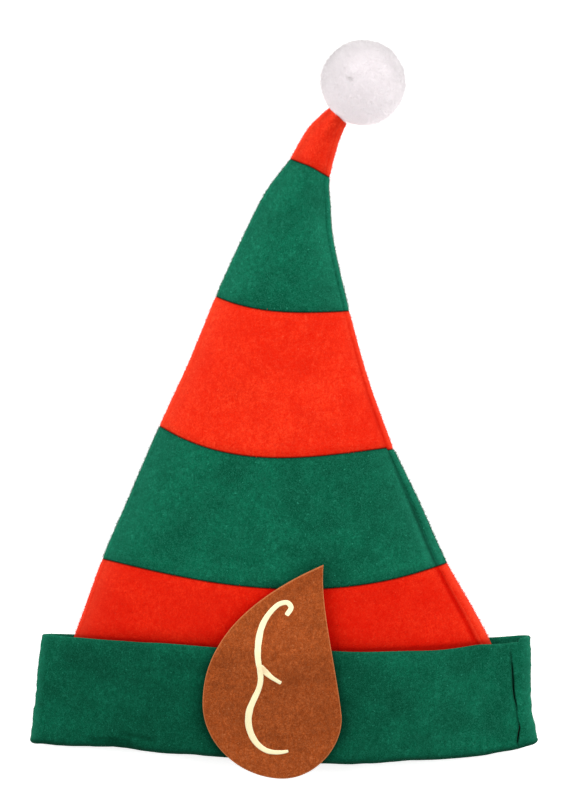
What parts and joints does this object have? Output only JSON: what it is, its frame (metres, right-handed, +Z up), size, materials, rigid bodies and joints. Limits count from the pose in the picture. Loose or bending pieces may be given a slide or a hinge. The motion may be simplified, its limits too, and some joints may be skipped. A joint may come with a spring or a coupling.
{
  "type": "felt elf hat",
  "caption": "Striped felt cone hat with a turned-up cuff, a felt ear on each side and a pompom at its tip, lying flat on its back layer.",
  "frame": {"origin": "middle of the base of the bounding box, on the floor that the hat lies on", "axes": "+X runs across the rim to the side of the back seam, +Y from the rim to the tip, +Z up through the layers to the front of the hat"},
  "size_m": [0.3016, 0.4312, 0.0504],
  "materials": {
    "red_felt": "matt pressed felt",
    "green_felt": "matt pressed felt",
    "brown_felt": "matt smooth felt",
    "cream_print": "raised matt print",
    "white_fluff": "soft cut fibre"
  },
  "bodies": {
    "root": {"stripe_base_red": "red_felt", "stripe_lower_green": "green_felt", "stripe_middle_red": "red_felt", "stripe_upper_green": "green_felt", "stripe_tip_red": "red_felt", "cuff": "green_felt", "ear_near": "brown_felt", "ear_far": "brown_felt", "ear_line": "cream_print", "pompom": "white_fluff"}
  },
  "joints": []
}
